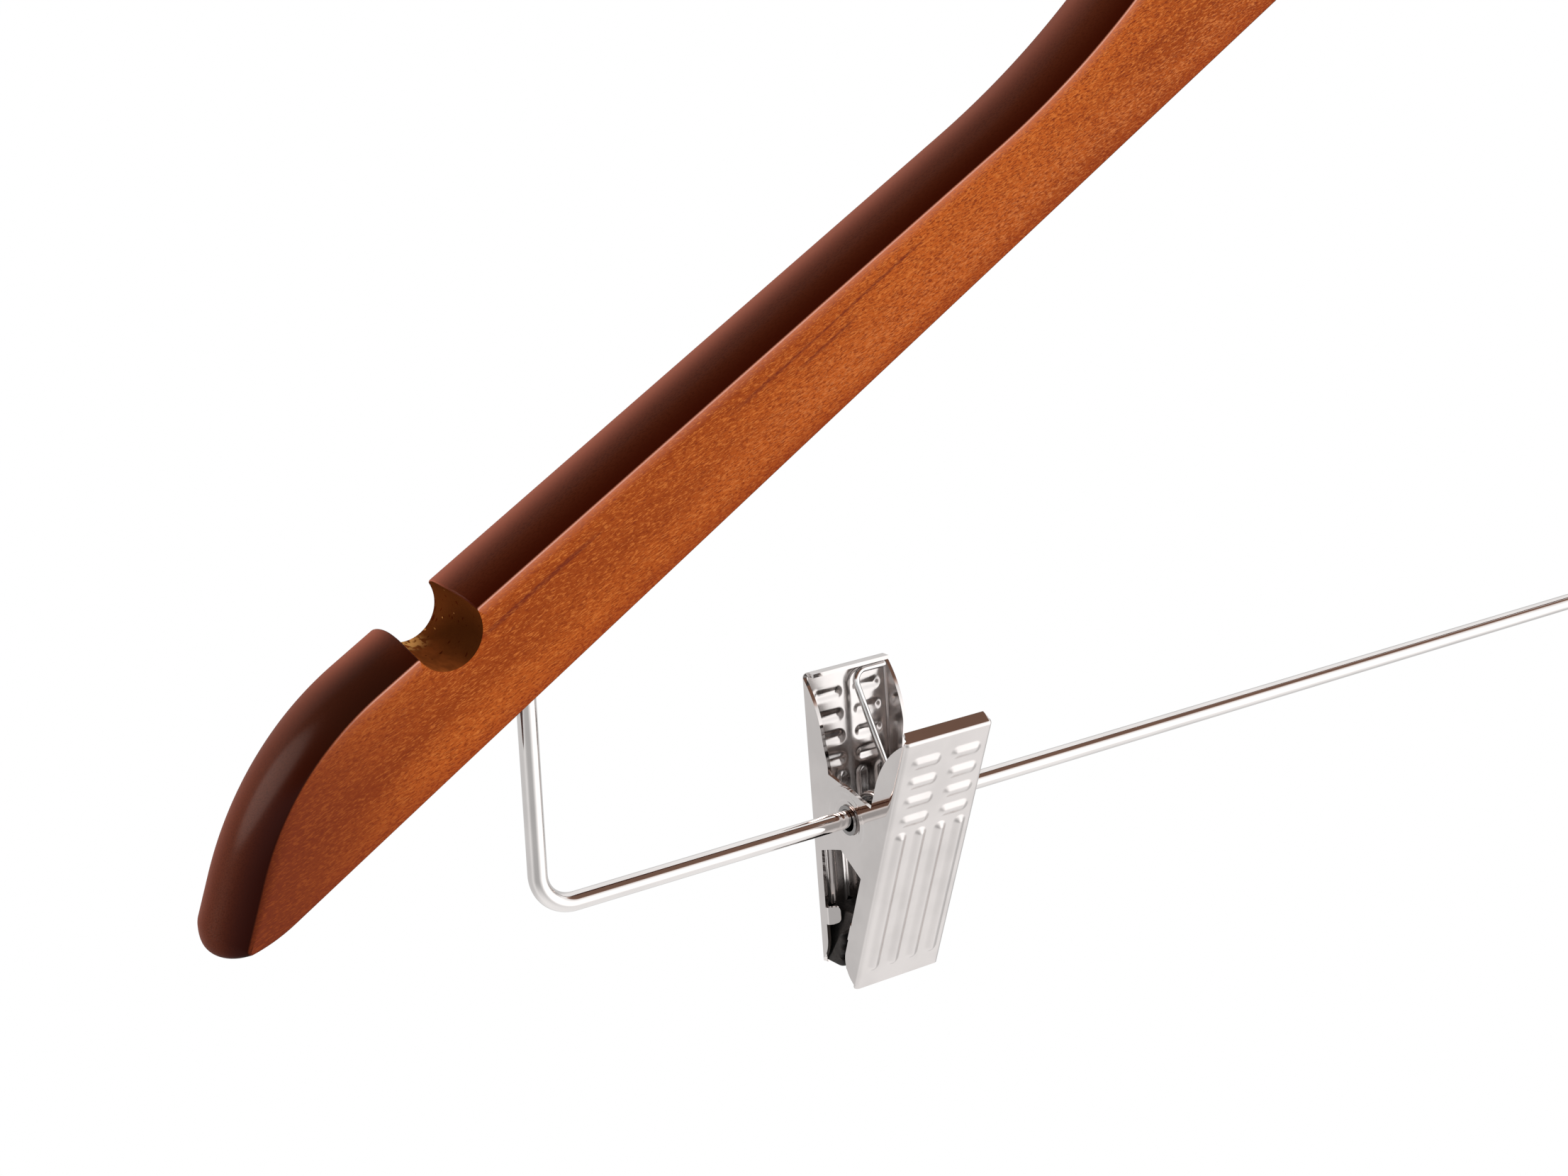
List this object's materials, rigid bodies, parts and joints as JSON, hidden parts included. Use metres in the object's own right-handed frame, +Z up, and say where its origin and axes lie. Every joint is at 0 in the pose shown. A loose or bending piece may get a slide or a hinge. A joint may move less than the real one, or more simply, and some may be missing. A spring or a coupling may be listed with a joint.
{
  "type": "skirt hanger",
  "caption": "Wooden clothes hanger with strap notches, a swivel wire hook and a wire trouser bar that carries sliding spring clips with rubber pads for skirts.",
  "frame": {"origin": "the point inside the top of the hook that rests on a rail, on the hook's swivel axis", "axes": "+Z up along the swivel axis, +X along the trouser bar with the hook's opening on the -X side, +Y towards the back"},
  "size_m": [0.4494, 0.0282, 0.2758],
  "materials": {
    "stained_wood": "satin lacquer over a warm brown stain, darker on the narrow edges",
    "hook_chrome": "bright plated steel",
    "bar_chrome": "bright plated steel wire",
    "clip_nickel": "bright plated pressed sheet, slightly satin on the plates",
    "tube_nickel": "bright plated tube",
    "spring_steel": "bright spring wire",
    "pad_rubber": "matt black moulded rubber"
  },
  "bodies": {
    "hook": {"hook": "hook_chrome"},
    "hanger": {"left_arm": "stained_wood", "right_arm": "stained_wood", "hook_ferrule": "hook_chrome", "trouser_bar": "bar_chrome"},
    "left_tube": {"left_hinge_tube": "tube_nickel"},
    "left_rear": {"left_rear_jaw": "clip_nickel", "left_rear_pad": "pad_rubber", "left_spring": "spring_steel"},
    "left_front": {"left_front_jaw": "clip_nickel", "left_front_pad": "pad_rubber"},
    "right_tube": {"right_hinge_tube": "tube_nickel"},
    "right_rear": {"right_rear_jaw": "clip_nickel", "right_rear_pad": "pad_rubber", "right_spring": "spring_steel"},
    "right_front": {"right_front_jaw": "clip_nickel", "right_front_pad": "pad_rubber"}
  },
  "joints": [
    {"name": "hook_swivel", "type": "hinge", "parent": "hook", "child": "hanger", "pos_m": [0, 0, 0], "axis": [0, 0, 1], "continuous": true},
    {"name": "left_clip_slide", "type": "slide", "parent": "hanger", "child": "left_tube", "axis": [1, 0, 0], "range_m": [-0.047, 0.104]},
    {"name": "left_clip_swing", "type": "hinge", "parent": "left_tube", "child": "left_rear", "pos_m": [-0.113, 0, -0.24338], "axis": [1, 0, 0], "continuous": true},
    {"name": "left_clip_open", "type": "hinge", "parent": "left_rear", "child": "left_front", "pos_m": [-0.113, 0, -0.24338], "axis": [-1, 0, 0], "range_deg": [0, 40], "stiffness_Nm_per_rad": 0.16, "springref_deg": -49.85, "deforming": ["left_spring"]},
    {"name": "right_clip_slide", "type": "slide", "parent": "hanger", "child": "right_tube", "axis": [-1, 0, 0], "range_m": [-0.047, 0.104]},
    {"name": "right_clip_swing", "type": "hinge", "parent": "right_tube", "child": "right_rear", "pos_m": [0.113, 0, -0.24338], "axis": [1, 0, 0], "continuous": true},
    {"name": "right_clip_open", "type": "hinge", "parent": "right_rear", "child": "right_front", "pos_m": [0.113, 0, -0.24338], "axis": [-1, 0, 0], "range_deg": [0, 40], "stiffness_Nm_per_rad": 0.16, "springref_deg": -49.85, "deforming": ["right_spring"]}
  ]
}
